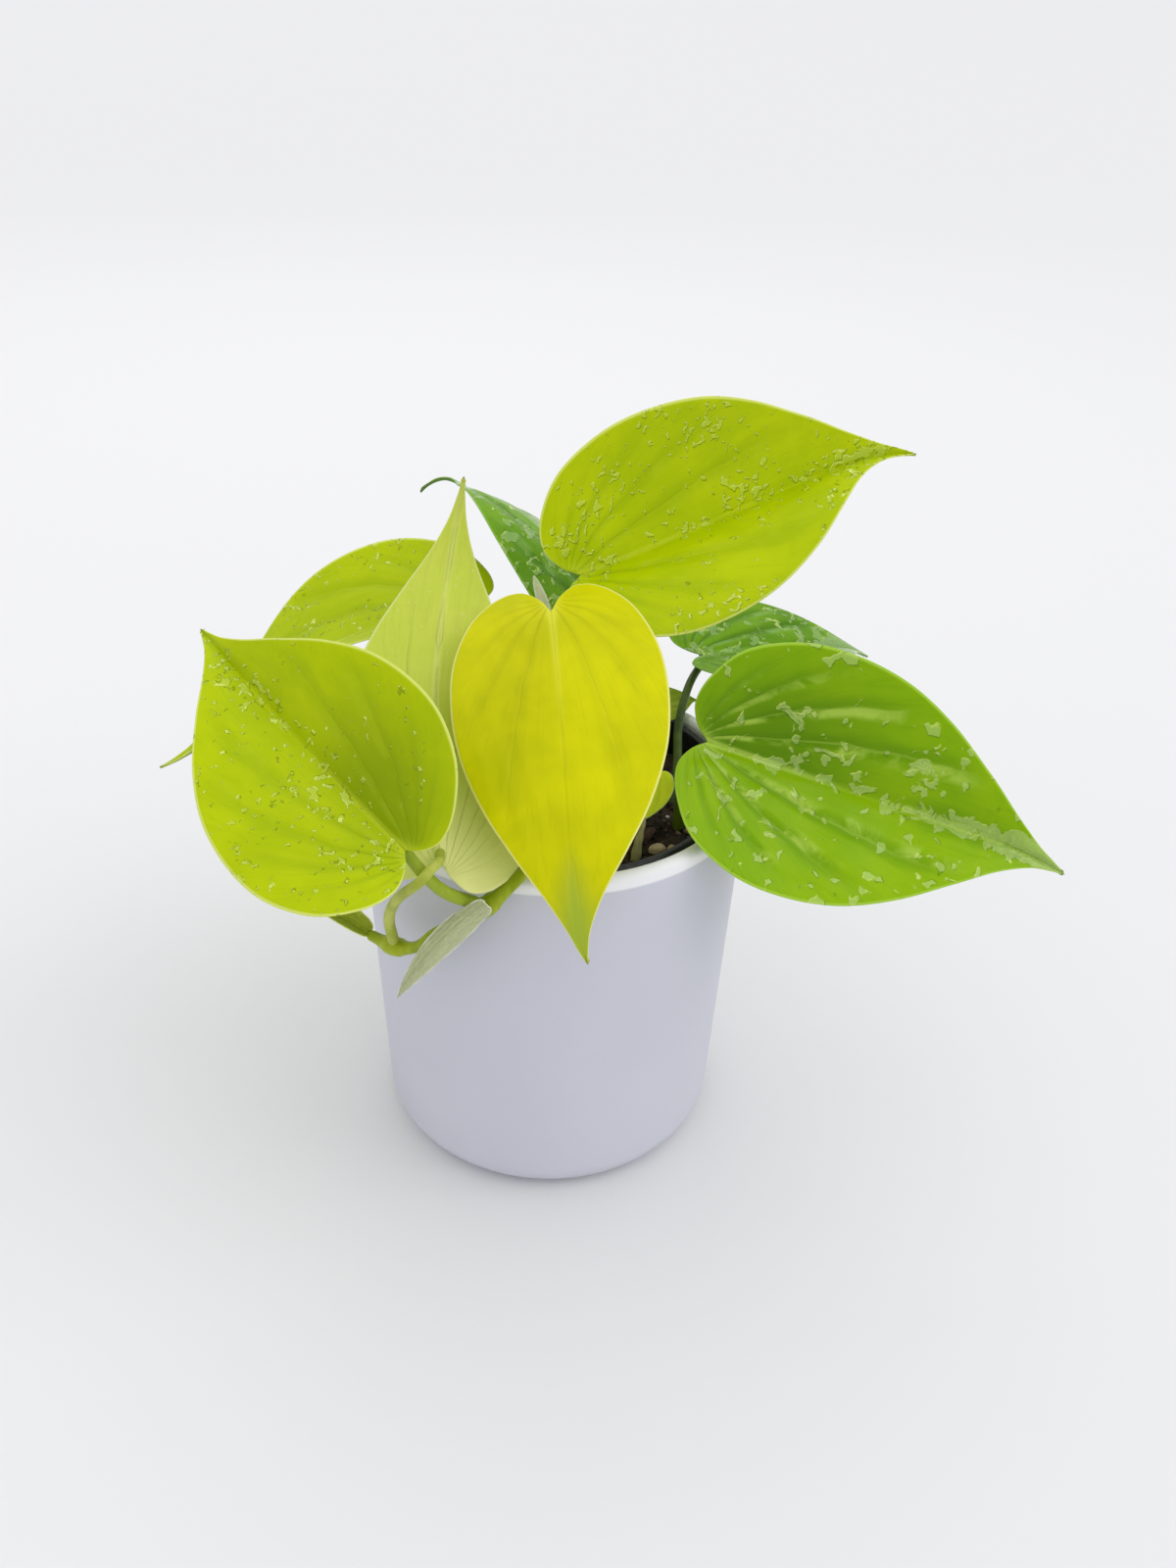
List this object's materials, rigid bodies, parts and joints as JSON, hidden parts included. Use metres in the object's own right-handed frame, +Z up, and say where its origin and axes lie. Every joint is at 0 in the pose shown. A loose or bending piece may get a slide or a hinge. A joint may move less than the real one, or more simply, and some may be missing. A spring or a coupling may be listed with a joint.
{
  "type": "potted heart-leaf philodendron",
  "caption": "Lime heart-leaved climbing house plant in a thin nursery pot that stands in a plain white tapered cover pot.",
  "frame": {"origin": "centre of the cover pot's flat underside", "axes": "+Z up along the pot's axis, -Y towards the side the plant hangs over, +X to its right"},
  "size_m": [0.2673, 0.1857, 0.2146],
  "materials": {
    "white_ceramic": "matt white glaze with a cool tint",
    "black_plastic": "thin black moulded plastic",
    "potting_soil": "dark damp potting mix",
    "grit": "rounded tan grit",
    "bark": "dry brown bark",
    "stem": "smooth olive-green stem",
    "leaf_gold": "satin yellow-lime leaf",
    "leaf_lime": "glossy wet lime leaf",
    "leaf_green": "glossy wet mid-green leaf",
    "leaf_dark": "glossy wet dark green leaf",
    "leaf_pale": "matt pale underside",
    "sheath": "thin papery sheath"
  },
  "bodies": {
    "root": {"cover_pot": "white_ceramic", "nursery_pot": "black_plastic", "soil": "potting_soil", "pebble_1": "grit", "pebble_2": "grit", "bark_chip": "bark", "old_stem": "bark", "vine": "stem", "leaf_front": "leaf_gold", "leaf_top_right": "leaf_lime", "leaf_left": "leaf_lime", "leaf_right": "leaf_green", "leaf_back_left": "leaf_lime", "leaf_pale": "leaf_pale", "leaf_back_centre": "leaf_dark", "leaf_back_right": "leaf_dark", "leaf_small_back": "leaf_dark", "leaf_small_front": "leaf_lime", "node_sheath": "sheath", "new_shoot": "sheath", "young_shoot": "sheath"}
  },
  "joints": []
}
